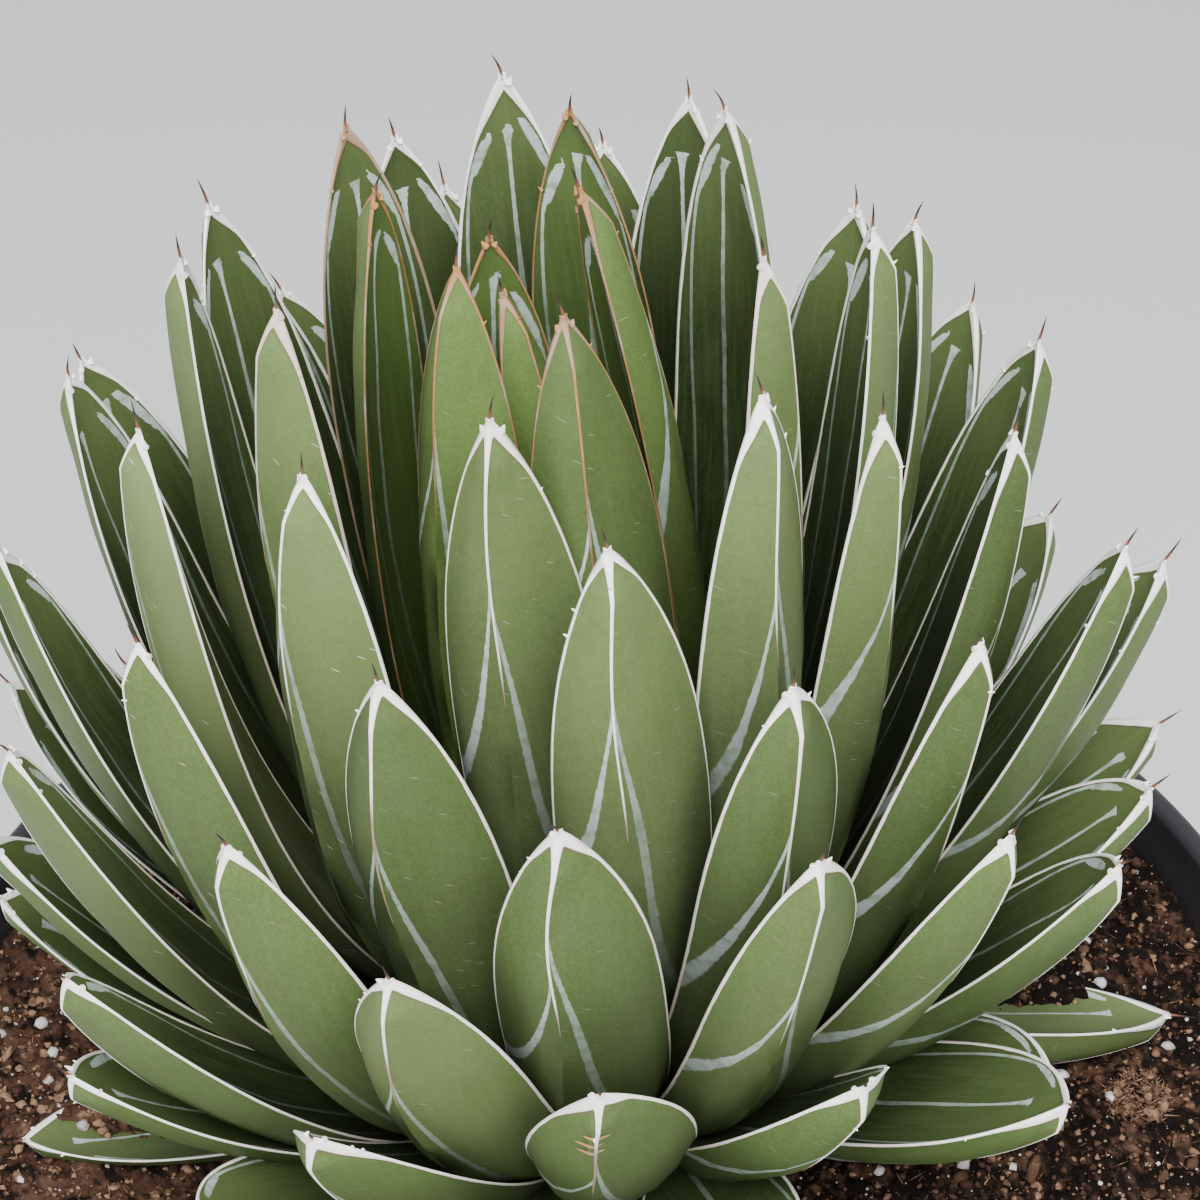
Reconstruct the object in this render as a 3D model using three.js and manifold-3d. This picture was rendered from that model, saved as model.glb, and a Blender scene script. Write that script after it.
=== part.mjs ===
// Queen Victoria agave (Agave victoriae-reginae) in a round nursery pot.
// Millimetres, +Z up. The pot stands on Z = 0 round the Z axis; the plant's front is toward -Y.
import * as THREE from 'three';
import { mergeVertices } from 'three/addons/utils/BufferGeometryUtils.js';
import Module from 'manifold-3d';

const wasm = await Module();
wasm.setup();

// ---------------------------------------------------------------- driving dimensions

// Pot: a plain 14 inch container, filled to just under its rolled rim.
const POT_HEIGHT = 280;
const POT_RIM_RADIUS = 177;
const POT_RIM_DEPTH = 13;
const POT_RIM_WIDTH = 7;
const POT_FOOT_RADIUS = 138;
const POT_FOOT_CHAMFER = 3;
const POT_WALL = 3;
const POT_FLOOR = 4;
const POT_SIDES = 48;
const RIM_ARC_STEPS = 4;
const DRAIN_HOLES = 6;
const DRAIN_RADIUS = 7;
const DRAIN_CIRCLE = 96;
const DRAIN_SIDES = 12;

// Soil: how far its surface lies under the rim, and the height and length of its waves.
const SOIL_BELOW_RIM = 14;
const SOIL_RINGS = 6;
const SOIL_EDGE_DROP = 3;
const SOIL_CRUMB = 1.6;
const SOIL_WAVE = 38;

// Clearance between neighbouring pieces.
const GAP = 0.3;

// Plant: it stands on the soil with its axis a little off upright, to the left and forward.
const PLANT_BASE = POT_HEIGHT - 12;
const LEAN_LEFT = 5.1;
const LEAN_FORWARD = 5;

// Stem: short and broad, narrowing to the heart.
const STEM_TOP_RADIUS = 6;
const STEM_FOOT_RADIUS = 35;
const STEM_SPREAD = 0.23;
const STEM_FOOT = 4;
const STEM_RISE = 39;
const STEM_TAPER = 1.7;
const STEM_CROWN = 2;
const STEM_IN_SOIL = 26;
const STEM_UNDERSIDE_RADIUS = 25;
const STEM_SIDES = 14;
const STEM_STATIONS = [1, 0.6, 0.3, 0.1, 0.02];

// Leaves, counted from the youngest in the heart to the oldest at the foot. Each follows the one
// before it by the golden angle. A triple holds a value in the heart, half way and at the foot.
const LEAF_COUNT = 77;
const HALF_SUNK_LEAF = 85;
const LEAF_STEPS = 78;
const GOLDEN_ANGLE = 137.508;
const FIRST_TURN = 281;
const LEAF_LEAN = [-0.7, 29, 59];
const LEAF_LENGTH = [240, 195, 119];
const LEAF_BEND = [13, 35, -13];
const BUD_SHORTER = 43;
const BUD_SPAN = 2.5;
const LEAF_WIDTH_HEART = 30.5;
const LEAF_WIDTH_GAIN = 9;
const BUD_NARROWER = 5;
const BUD_WIDTH_SPAN = 5;

// Leaves on the sunny side curve over more. The turn is that of the side they curve to.
const SUN_BEND = 13;
const SUN_TURN = -73;
const SUN_FULL_AT = 0.25;

// One leaf: shares of its width or length. The keel lies off the middle, to the left from outside.
const LEAF_THICKNESS = 0.37;
const LEAF_ROOT_WIDTH = 0.42;
const LEAF_WIDEST_AT = 0.52;
const LEAF_FATTEST_AT = 0.42;
const LEAF_ROOT_THICKNESS = 0.5;
const LEAF_TIP_THICKNESS = 0.35;
const LEAF_HOLLOW = 0.1;
const TIP_SHOULDER = 3.2;
const TIP_POINT = 0.9;
const TIP_TAPER = 2.8;
const KEEL_LIMIT = 1.15;
const KEEL_OFFSET = 0.3;
const FLANK_AT = 0.6;
const FLANK_DEPTH_ROOT = 0.83;
const FLANK_DEPTH_TIP = 0.55;
const BEND_FADE = 2.5;
const BEND_STEPS = 60;
const ROOT_DEPTH = 3;
const LEAF_STATIONS = [0, 0.12, 0.3, 0.5, 0.69, 0.84, 0.945, 1];

// The horny spine that ends each leaf.
const SPINE_RADIUS = 0.9;
const SPINE_LENGTH = 8;
const SPINE_WAIST = 0.6;

// How single leaves depart from the rule: turn and lean in degrees, length in millimetres.
const OWN_WAY = {
  1: [0, -4, -5], 2: [0, -3, -4], 3: [-2, -2, 0], 4: [0, -2, 0], 5: [-2, -1, 0], 6: [-3, 1, 0],
  7: [-3, 2, -5], 8: [-1, 2, 2], 9: [-4, 3, 0], 10: [3, 1, 2], 11: [5, -1, -9], 12: [-1, 2, 3],
  13: [-2, 2, 6], 14: [0, 3, 5], 15: [-3, 1, 4], 16: [-2, -1, -8], 17: [-1, 2, 3], 18: [-2, 3, 0],
  19: [2, 1, 2], 20: [0, 1, 3], 21: [-4, 0, 0], 23: [-4, -1, 2], 24: [2, 1, -7], 25: [-2, 2, 0],
  26: [2, 3, 0], 27: [-2, 3, -2], 28: [-2, 0, -3], 30: [-3, 1, -2], 32: [3, 2, 0], 33: [-3, 0, 0],
  34: [0, 2, 2], 35: [0, 0, 6], 38: [0, -1, 7], 39: [-3, 0, 8], 40: [7, 0, 3], 42: [0, 0, 4],
  43: [6, -1, 11], 45: [-2, -2, 3], 46: [2, -1, 6], 48: [7, -2, 5], 50: [-4, 2, 0], 51: [0, 1, 4],
  53: [-4, -2, 0], 55: [2, 0, -6], 58: [2, -2, 0], 59: [2, -2, -6], 60: [5, 2, -4],
  61: [0, -4, 0], 63: [4, 1, -4], 64: [0, -1, -4], 68: [5, 2, -5], 69: [0, 3, 0], 72: [-2, 2, 5],
  76: [-6, 23, -5], 77: [-10, 3, -12], 85: [3, 37, -3],
};

// Two leaves lie half sunk in the soil, rolled about their own length by these degrees.
const OWN_ROLL = { 76: 14, 85: -28 };

// The leaves that stand as nodes of their own. The younger ones in the heart and the older ones at
// the foot are grown together with the stem.
const FIRST_FREE_LEAF = 6;
const LAST_FREE_LEAF = 62;

// ---------------------------------------------------------------- materials

function plain(color, roughness) {
  return new THREE.MeshStandardMaterial({ color, roughness, metalness: 0 });
}

const stemMaterial = plain(0x6a7d48, 0.6);
const soilMaterial = plain(0x4a3022, 0.95);
const potMaterial = plain(0x2b2b2e, 0.45);

const youngGreen = new THREE.Color(0x6f8f4a);
const oldGreen = new THREE.Color(0x4d6740);

function leafMaterial(number) {
  return plain(youngGreen.clone().lerp(oldGreen, number / LEAF_STEPS), 0.5);
}

// ---------------------------------------------------------------- solids and meshes

function solidOf(geometry) {
  const bare = geometry.clone();
  bare.deleteAttribute('normal');
  bare.deleteAttribute('uv');
  const merged = mergeVertices(bare, 1e-4);
  return new wasm.Manifold(new wasm.Mesh({
    numProp: 3,
    vertProperties: new Float32Array(merged.attributes.position.array),
    triVerts: new Uint32Array(merged.index.array),
  }));
}

function geometryOf(solid) {
  const { vertProperties, triVerts, numProp } = solid.getMesh();
  const positions = new Float32Array((vertProperties.length / numProp) * 3);
  for (let i = 0; i < positions.length / 3; i += 1) {
    positions.set(vertProperties.subarray(i * numProp, i * numProp + 3), i * 3);
  }
  const geometry = new THREE.BufferGeometry();
  geometry.setAttribute('position', new THREE.BufferAttribute(positions, 3));
  geometry.setIndex(new THREE.BufferAttribute(new Uint32Array(triVerts), 1));
  geometry.computeVertexNormals();
  return geometry;
}

function largestPiece(solid) {
  const pieces = solid.decompose();
  return pieces.reduce((best, piece) => (piece.volume() > best.volume() ? piece : best));
}

function latheOf(profile, sides) {
  const geometry = new THREE.LatheGeometry(profile.map(([r, z]) => new THREE.Vector2(r, z)), sides);
  geometry.rotateX(Math.PI / 2);
  return geometry;
}

function namedMesh(name, geometry, material) {
  const mesh = new THREE.Mesh(geometry, material);
  mesh.name = name;
  return mesh;
}

// ---------------------------------------------------------------- the rule of the leaves

const radians = THREE.MathUtils.degToRad;

// A parabola through the values in the heart (t = 0), half way and at the foot (t = 1).
function through([heart, middle, foot], t) {
  const square = 2 * (heart + foot - 2 * middle);
  return heart + (foot - heart - square) * t + square * t * t;
}

function stemRadius(t) {
  return STEM_TOP_RADIUS + (STEM_FOOT_RADIUS - STEM_TOP_RADIUS) * t ** STEM_SPREAD;
}

function stemHeight(t) {
  return STEM_FOOT + STEM_RISE * (1 - t) ** STEM_TAPER;
}

function leafForm(number) {
  const t = Math.min(number / LEAF_STEPS, 1);
  const [ownTurn, ownLean, ownLength] = OWN_WAY[number] ?? [0, 0, 0];
  const turn = FIRST_TURN + GOLDEN_ANGLE * number + ownTurn;
  const sun = SUN_BEND * Math.min(1, t / SUN_FULL_AT) * Math.cos(radians(turn - SUN_TURN));
  const youth = Math.exp(-number / BUD_SPAN);
  const slimness = Math.exp(-number / BUD_WIDTH_SPAN);
  return {
    turn: radians(turn),
    lean: radians(through(LEAF_LEAN, t) + ownLean),
    bend: radians(through(LEAF_BEND, t) + sun),
    length: through(LEAF_LENGTH, t) - BUD_SHORTER * youth + ownLength,
    width: LEAF_WIDTH_HEART + LEAF_WIDTH_GAIN * Math.sqrt(t) - BUD_NARROWER * slimness,
    roll: radians(OWN_ROLL[number] ?? 0),
    rootRadius: stemRadius(t) - ROOT_DEPTH,
    rootHeight: stemHeight(t),
  };
}

// ---------------------------------------------------------------- one leaf

function widthShare(s) {
  if (s < LEAF_WIDEST_AT) {
    const toRoot = 1 - s / LEAF_WIDEST_AT;
    return 1 - (1 - LEAF_ROOT_WIDTH) * toRoot ** 2;
  }
  const toTip = (s - LEAF_WIDEST_AT) / (1 - LEAF_WIDEST_AT);
  return (1 - toTip ** TIP_SHOULDER) ** TIP_POINT;
}

function thicknessShare(s) {
  if (s < LEAF_FATTEST_AT) {
    const swelling = Math.sin((s / LEAF_FATTEST_AT) * (Math.PI / 2));
    return LEAF_ROOT_THICKNESS + (1 - LEAF_ROOT_THICKNESS) * swelling;
  }
  const toTip = (s - LEAF_FATTEST_AT) / (1 - LEAF_FATTEST_AT);
  return 1 - (1 - LEAF_TIP_THICKNESS) * toTip ** TIP_TAPER;
}

// The lean of the centre line. It is steepest away from the root and averages to the leaf's lean.
function leanAt(form, s) {
  return form.lean + form.bend * ((1 - s) ** BEND_FADE - 1 / (BEND_FADE + 1));
}

// The centre line in the leaf's own upright plane: distance out from the root, and height.
function centreLine(form) {
  const step = form.length / BEND_STEPS;
  const points = [];
  let out = 0;
  let up = 0;
  let done = 0;
  for (const s of LEAF_STATIONS) {
    while (done < Math.round(s * BEND_STEPS)) {
      const lean = leanAt(form, (done + 0.5) / BEND_STEPS);
      out += Math.sin(lean) * step;
      up += Math.cos(lean) * step;
      done += 1;
    }
    points.push({ s, out, up, lean: leanAt(form, s) });
  }
  return points;
}

// Six points round the leaf: one edge, the hollow of its inner face, the other edge, and its back
// with the keel between two flanks. A grown section clears the plain one all round.
function leafSection(form, s, grow) {
  const half = Math.max((form.width / 2) * widthShare(s), SPINE_RADIUS);
  const full = form.width * LEAF_THICKNESS * thicknessShare(s);
  const keel = Math.max(Math.min(full, half * KEEL_LIMIT), SPINE_RADIUS);
  const hollow = Math.min(2 * half * LEAF_HOLLOW * Math.min(1, 2 * s), keel / 2);
  const flank = keel * (FLANK_DEPTH_ROOT + (FLANK_DEPTH_TIP - FLANK_DEPTH_ROOT) * s);
  const edge = half + 2 * grow;
  const crest = -half * KEEL_OFFSET;
  const left = crest + FLANK_AT * (-half - crest) - grow;
  const right = crest + FLANK_AT * (half - crest) + grow;
  return [
    [-edge, grow],
    [0, grow - hollow],
    [edge, grow],
    [right, -flank - grow],
    [crest, -keel - grow],
    [left, -flank - grow],
  ];
}
const SECTION_POINTS = 6;
const HOLLOW_POINT = 1;

function middleOf(points) {
  return points.reduce((sum, point) => sum.add(point), new THREE.Vector3()).divideScalar(points.length);
}

function leafGeometry(form, grow = 0) {
  const outward = new THREE.Vector3(Math.sin(form.turn), -Math.cos(form.turn), 0);
  const across = new THREE.Vector3(Math.cos(form.turn), Math.sin(form.turn), 0);
  const root = outward.clone().multiplyScalar(form.rootRadius).setZ(form.rootHeight);
  const line = centreLine(form);
  const points = [];
  for (const { s, out, up, lean } of line) {
    const centre = root.clone().addScaledVector(outward, out);
    centre.z += up;
    const inward = outward.clone().multiplyScalar(-Math.cos(lean)).setZ(Math.sin(lean));
    for (const [x, y] of leafSection(form, s, grow)) {
      const rolledX = x * Math.cos(form.roll) - y * Math.sin(form.roll);
      const rolledY = x * Math.sin(form.roll) + y * Math.cos(form.roll);
      points.push(centre.clone().addScaledVector(across, rolledX).addScaledVector(inward, rolledY));
    }
  }

  const { lean: tipLean } = line[line.length - 1];
  const forward = outward.clone().multiplyScalar(Math.sin(tipLean)).setZ(Math.cos(tipLean));
  const tip = points.slice(-SECTION_POINTS);
  const middle = middleOf(tip);
  for (const point of tip) {
    const waist = middle.clone().lerp(point, SPINE_WAIST);
    points.push(waist.addScaledVector(forward, SPINE_LENGTH / 2));
  }
  points.push(middle.addScaledVector(forward, SPINE_LENGTH + grow));

  const faces = [];
  const lastRing = line.length * SECTION_POINTS;
  const apex = lastRing + SECTION_POINTS;
  for (let k = 0; k < SECTION_POINTS; k += 1) {
    const next = (k + 1) % SECTION_POINTS;
    for (let ring = 0; ring < lastRing; ring += SECTION_POINTS) {
      const above = ring + SECTION_POINTS;
      faces.push(ring + k, above + next, ring + next, ring + k, above + k, above + next);
    }
    faces.push(lastRing + next, lastRing + k, apex);
    if (k > HOLLOW_POINT) {
      faces.push(HOLLOW_POINT, k, next);
    }
  }
  const geometry = new THREE.BufferGeometry().setFromPoints(points);
  geometry.setIndex(faces);
  return geometry;
}

// ---------------------------------------------------------------- stem

function stemGeometry(grow = 0) {
  const underside = -STEM_IN_SOIL - grow;
  const crown = STEM_FOOT + STEM_RISE + STEM_CROWN + grow;
  const flanks = STEM_STATIONS.map((t) => [stemRadius(t) + grow, stemHeight(t) + grow]);
  const profile = [[0, underside], [STEM_UNDERSIDE_RADIUS + grow, underside], ...flanks, [0, crown]];
  return latheOf(profile, STEM_SIDES);
}

// ---------------------------------------------------------------- pot and soil

const WALL_TOP = POT_HEIGHT - POT_RIM_DEPTH;
const UNDER_RIM_RADIUS = POT_RIM_RADIUS - POT_RIM_WIDTH;

// The rim's top is half round.
function rimArc() {
  const round = POT_RIM_WIDTH / 2;
  const steps = [...Array(RIM_ARC_STEPS + 1).keys()];
  return steps.map((step) => {
    const angle = (step / RIM_ARC_STEPS) * Math.PI;
    return [
      POT_RIM_RADIUS - round + round * Math.cos(angle),
      POT_HEIGHT - round + round * Math.sin(angle),
    ];
  });
}

function potGeometry() {
  const profile = [
    [0, 0],
    [POT_FOOT_RADIUS - POT_FOOT_CHAMFER, 0],
    [POT_FOOT_RADIUS, POT_FOOT_CHAMFER],
    [UNDER_RIM_RADIUS, WALL_TOP],
    [POT_RIM_RADIUS, WALL_TOP],
    ...rimArc(),
    [UNDER_RIM_RADIUS - POT_WALL, WALL_TOP],
    [POT_FOOT_RADIUS - POT_WALL, POT_FLOOR],
    [0, POT_FLOOR],
  ];
  let solid = solidOf(latheOf(profile, POT_SIDES));
  for (let i = 0; i < DRAIN_HOLES; i += 1) {
    const angle = ((i + 0.5) / DRAIN_HOLES) * 2 * Math.PI;
    const hole = new THREE.CylinderGeometry(DRAIN_RADIUS, DRAIN_RADIUS, POT_FLOOR * 3, DRAIN_SIDES);
    hole.rotateX(Math.PI / 2);
    hole.translate(DRAIN_CIRCLE * Math.cos(angle), DRAIN_CIRCLE * Math.sin(angle), 0);
    solid = solid.subtract(solidOf(hole));
  }
  return geometryOf(solid);
}

function potInside(z) {
  const foot = POT_FOOT_RADIUS - POT_WALL;
  const slope = (UNDER_RIM_RADIUS - POT_WALL - foot) / (WALL_TOP - POT_FLOOR);
  return foot + slope * (z - POT_FLOOR) - GAP;
}

function soilHeight(x, y) {
  const wave = Math.sin((x + y / 3) * (2 * Math.PI / SOIL_WAVE)) * Math.cos(y * (2 * Math.PI / SOIL_WAVE));
  return POT_HEIGHT - SOIL_BELOW_RIM + SOIL_CRUMB * wave;
}

function soilGeometry() {
  const floor = POT_FLOOR + GAP;
  const edge = POT_HEIGHT - SOIL_BELOW_RIM - SOIL_EDGE_DROP;
  const points = [new THREE.Vector3(0, 0, soilHeight(0, 0))];
  const addRing = (radius, heightAt) => {
    for (let k = 0; k < POT_SIDES; k += 1) {
      const angle = (k / POT_SIDES) * 2 * Math.PI;
      const x = radius * Math.sin(angle);
      const y = radius * Math.cos(angle);
      points.push(new THREE.Vector3(x, y, heightAt(x, y)));
    }
  };
  for (let i = 1; i < SOIL_RINGS; i += 1) {
    addRing((potInside(edge) * i) / SOIL_RINGS, soilHeight);
  }
  addRing(potInside(edge), () => edge);
  addRing(potInside(floor), () => floor);
  points.push(new THREE.Vector3(0, 0, floor));

  const faces = [];
  const lowest = 1 + SOIL_RINGS * POT_SIDES;
  const underside = points.length - 1;
  for (let k = 0; k < POT_SIDES; k += 1) {
    const next = (k + 1) % POT_SIDES;
    faces.push(0, 1 + next, 1 + k);
    for (let ring = 1; ring < lowest; ring += POT_SIDES) {
      const outer = ring + POT_SIDES;
      faces.push(ring + k, ring + next, outer + next, ring + k, outer + next, outer + k);
    }
    faces.push(underside, lowest + k, lowest + next);
  }
  const geometry = new THREE.BufferGeometry().setFromPoints(points);
  geometry.setIndex(faces);
  return geometry;
}

// ---------------------------------------------------------------- assembly

const plant = new THREE.Group();
plant.position.z = PLANT_BASE;
plant.rotation.set(radians(LEAN_FORWARD), radians(-LEAN_LEFT), 0);
plant.updateMatrix();

const numbers = [...Array(LEAF_COUNT).keys()].map((i) => i + 1).concat(HALF_SUNK_LEAF);
const leaves = numbers.map((number) => {
  const form = leafForm(number);
  return {
    number,
    solid: solidOf(leafGeometry(form)),
    grown: solidOf(leafGeometry(form, GAP)),
    free: number >= FIRST_FREE_LEAF && number <= LAST_FREE_LEAF,
  };
});

// An older leaf takes the print of the younger ones that press on it.
for (const leaf of leaves) {
  for (const younger of leaves) {
    if (younger.number < leaf.number && (leaf.free || younger.free)) {
      leaf.solid = leaf.solid.subtract(younger.grown);
    }
  }
}

let stem = solidOf(stemGeometry());
const aroundStem = solidOf(stemGeometry(GAP));
for (const leaf of leaves) {
  if (leaf.free) {
    const blade = largestPiece(leaf.solid.subtract(aroundStem));
    const name = `leaf_${String(leaf.number).padStart(2, '0')}`;
    plant.add(namedMesh(name, geometryOf(blade), leafMaterial(leaf.number)));
  } else {
    stem = stem.add(leaf.solid);
  }
}
plant.add(namedMesh('stem', geometryOf(largestPiece(stem)), stemMaterial));

let soil = solidOf(soilGeometry());
for (const grown of [aroundStem, ...leaves.map((leaf) => leaf.grown)]) {
  const placed = geometryOf(grown).applyMatrix4(plant.matrix);
  soil = soil.subtract(solidOf(placed));
}

const agave = new THREE.Group();
agave.add(namedMesh('pot', potGeometry(), potMaterial));
agave.add(namedMesh('soil', geometryOf(largestPiece(soil)), soilMaterial));
agave.add(plant);

export default agave;
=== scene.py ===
"""Queen Victoria agave in a round plastic pot: the finish of every piece.

Lengths are written in millimetres and become metres where a mesh is made. The plant stands in its
own frame, a little off upright, and PLANT carries it to where it grows in the pot.
"""
import math
import random
from functools import cached_property

import bpy
import numpy as np
from mathutils import Matrix, Vector, noise
from mathutils.geometry import tessellate_polygon


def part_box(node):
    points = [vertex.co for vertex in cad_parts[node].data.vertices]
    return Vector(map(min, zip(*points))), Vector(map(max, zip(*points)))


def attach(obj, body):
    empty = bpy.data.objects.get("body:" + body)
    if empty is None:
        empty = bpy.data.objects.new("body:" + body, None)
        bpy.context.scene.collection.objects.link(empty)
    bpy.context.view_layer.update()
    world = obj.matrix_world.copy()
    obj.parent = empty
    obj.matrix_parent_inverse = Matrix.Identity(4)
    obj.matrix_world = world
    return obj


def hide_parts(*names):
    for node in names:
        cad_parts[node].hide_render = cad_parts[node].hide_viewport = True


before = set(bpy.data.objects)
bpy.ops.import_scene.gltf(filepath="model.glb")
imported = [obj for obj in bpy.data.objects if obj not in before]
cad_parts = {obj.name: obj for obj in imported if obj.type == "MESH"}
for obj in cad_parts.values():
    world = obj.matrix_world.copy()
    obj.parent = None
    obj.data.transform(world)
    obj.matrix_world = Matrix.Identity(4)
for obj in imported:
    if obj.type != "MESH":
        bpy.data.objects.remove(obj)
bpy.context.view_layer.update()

MM = 0.001

# ---- sizes of the pot and soil

pot_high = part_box("pot")[1]
POT_HEIGHT = pot_high.z / MM
POT_RIM_RADIUS = pot_high.x / MM
POT_RIM_DEPTH = 13
POT_RIM_WIDTH = 7
POT_FOOT_RADIUS = 138
POT_FOOT_ROUND = 3
POT_WALL = 3
POT_FLOOR = 4
POT_WALL_TOP = POT_HEIGHT - POT_RIM_DEPTH
POT_NECK_RADIUS = POT_RIM_RADIUS - POT_RIM_WIDTH
POT_PLATE_RADIUS = POT_FOOT_RADIUS - 8
POT_SIDES = 160
DRAIN_HOLES = 6
DRAIN_RADIUS = 7
DRAIN_CIRCLE = 96
DRAIN_SIDES = 24
SOIL_TOP = POT_HEIGHT - 14

# ---- the rule of the leaves

PLANT_BASE = POT_HEIGHT - 12
LEAN_LEFT = 5.1
LEAN_FORWARD = 5
PLANT = (
    Matrix.Translation((0, 0, PLANT_BASE))
    @ Matrix.Rotation(math.radians(LEAN_FORWARD), 4, "X")
    @ Matrix.Rotation(math.radians(-LEAN_LEFT), 4, "Y")
)

STEM_TOP_RADIUS = 6
STEM_FOOT_RADIUS = 35
STEM_SPREAD = 0.23
STEM_FOOT = 4
STEM_RISE = 39
STEM_TAPER = 1.7
STEM_IN_SOIL = 26
STEM_UNDERSIDE_RADIUS = 25
STEM_SIDES = 48

# Leaves count from the heart outward. A triple holds a value in the heart, half way and at the foot.
LEAF_COUNT = 77
HALF_SUNK_LEAF = 85
LEAF_STEPS = 78
GOLDEN_ANGLE = 137.508
FIRST_TURN = 281
LEAF_LEAN = (-0.7, 29, 59)
LEAF_LENGTH = (240, 195, 119)
LEAF_BEND = (13, 35, -13)
BUD_SHORTER = 43
BUD_SPAN = 2.5
LEAF_WIDTH_HEART = 30.5
LEAF_WIDTH_GAIN = 9
BUD_NARROWER = 5
BUD_WIDTH_SPAN = 5
SUN_BEND = 13
SUN_TURN = -73
SUN_FULL_AT = 0.25

LEAF_THICKNESS = 0.37
LEAF_ROOT_WIDTH = 0.42
LEAF_WIDEST_AT = 0.52
LEAF_FATTEST_AT = 0.42
LEAF_ROOT_THICKNESS = 0.5
LEAF_TIP_THICKNESS = 0.35
LEAF_HOLLOW = 0.1
TIP_SHOULDER = 3.2
TIP_POINT = 0.9
TIP_TAPER = 2.8
KEEL_LIMIT = 1.15
KEEL_OFFSET = 0.3
FLANK_AT = 0.6
FLANK_DEPTH_ROOT = 0.83
FLANK_DEPTH_TIP = 0.55
KEEL_SHARPNESS = 0.45
BEND_FADE = 2.5
ROOT_DEPTH = 3

# How single leaves depart from the rule: turn and lean in degrees, length in millimetres.
OWN_WAY = {
    1: (0, -4, -5), 2: (0, -3, -4), 3: (-2, -2, 0), 4: (0, -2, 0), 5: (-2, -1, 0), 6: (-3, 1, 0),
    7: (-3, 2, -5), 8: (-1, 2, 2), 9: (-4, 3, 0), 10: (3, 1, 2), 11: (5, -1, -9), 12: (-1, 2, 3),
    13: (-2, 2, 6), 14: (0, 3, 5), 15: (-3, 1, 4), 16: (-2, -1, -8), 17: (-1, 2, 3), 18: (-2, 3, 0),
    19: (2, 1, 2), 20: (0, 1, 3), 21: (-4, 0, 0), 23: (-4, -1, 2), 24: (2, 1, -7), 25: (-2, 2, 0),
    26: (2, 3, 0), 27: (-2, 3, -2), 28: (-2, 0, -3), 30: (-3, 1, -2), 32: (3, 2, 0), 33: (-3, 0, 0),
    34: (0, 2, 2), 35: (0, 0, 6), 38: (0, -1, 7), 39: (-3, 0, 8), 40: (7, 0, 3), 42: (0, 0, 4),
    43: (6, -1, 11), 45: (-2, -2, 3), 46: (2, -1, 6), 48: (7, -2, 5), 50: (-4, 2, 0), 51: (0, 1, 4),
    53: (-4, -2, 0), 55: (2, 0, -6), 58: (2, -2, 0), 59: (2, -2, -6), 60: (5, 2, -4),
    61: (0, -4, 0), 63: (4, 1, -4), 64: (0, -1, -4), 68: (5, 2, -5), 69: (0, 3, 0), 72: (-2, 2, 5),
    76: (-6, 23, -5), 77: (-10, 3, -12), 85: (3, 37, -3),
}
# Two leaves lie half sunk in the soil, rolled about their own length by these degrees.
OWN_ROLL = {76: 14, 85: -28}
# Painted light and shade: leaves that are paler (above 0) or darker than their neighbours for how the
# light falls on them.
OWN_TONE_AND_LIGHT = {
    6: -0.6, 9: -0.5, 11: -0.4, 13: 0.2, 14: -0.2, 16: 0.3, 17: -0.25, 18: -0.4, 20: -0.9, 21: 0.9,
    23: -0.8, 24: -0.6, 27: -0.5, 30: -0.7, 35: -0.6, 42: 0.4, 43: -0.3, 45: 0.5, 76: 0.4, 85: 0.7,
}
SCRATCHED_LEAVES = (8, 16, 21, 26, 29, 34, 42)
FRAYED_LEAF = 53
# The keel line turns from white to gold this far down, in mm; on other leaves only near its end.
GOLDEN_KEELS = {24: 24, 37: 36, 45: 18, 53: 9}
GOLD_BEFORE_END = 18
GOLD_FADE = 12
# The heart's horn is narrow and tan. It bleaches as leaves open: the tan left in the next ones.
LAST_TAN_LEAF = 7
BLEACHING = {8: 0.6, 9: 0.5, 10: 0.9, 11: 0.25, 12: 0.2, 13: 0.3}
FIRST_FREE_LEAF = 6
LAST_FREE_LEAF = 62

# ---- finer forms of a leaf

STATIONS = 66
CENTRE_STEPS = 241
FLANK_SAMPLES = 81
FLANK_CROWDING = 1.6
TIP_CROWDING = 2.0
# Points across a line of horn, in its widths, and the share of a narrow face that they take.
HORN_STEPS = np.array((0, 0.45, 0.8, 0.95, 1.1, 1.5))
HORN_ROOM = 0.85
HORN_LIFT = 0.2
MARGIN_WIDTH = 0.58
KEEL_WIDTH = 0.22
KEEL_SPREAD = 0.22
KEEL_SPREAD_SPAN = 25
KEEL_AT_TIP = 1.1
KEEL_TIP_SPAN = 5
KEEL_FADE = 14
KEEL_REACH = 2.5
# What the fields of horn and prints hold well away from any horn or print.
NO_HORN = 3.0
NO_PRINT = 300.0
SPINE_RADIUS = 0.9
SPINE_THICK = 0.46
SPINE_SUNK = 1.8
SPINE_SIDES = 8
SPINE_RINGS = 9
TOOTH_SUNK = 0.5
LOBE_CHANCE = 0.7
FRAYS_DOWN = (12, 16, 20)


def through(values, t):
    """A parabola through the values in the heart (t = 0), half way and at the foot (t = 1)."""
    heart, middle, foot = values
    square = 2 * (heart + foot - 2 * middle)
    return heart + (foot - heart - square) * t + square * t * t


def column(values):
    """One value for each station, set up to meet rows of points."""
    return values[:, None]


def stem_radius(t):
    return STEM_TOP_RADIUS + (STEM_FOOT_RADIUS - STEM_TOP_RADIUS) * t**STEM_SPREAD


def stem_height(t):
    return STEM_FOOT + STEM_RISE * (1 - t) ** STEM_TAPER


def smooth(low, high, x):
    """0 below low, 1 above high, and an even slope between."""
    t = np.clip((x - low) / (high - low), 0, 1)
    return t * t * (3 - 2 * t)


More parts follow.
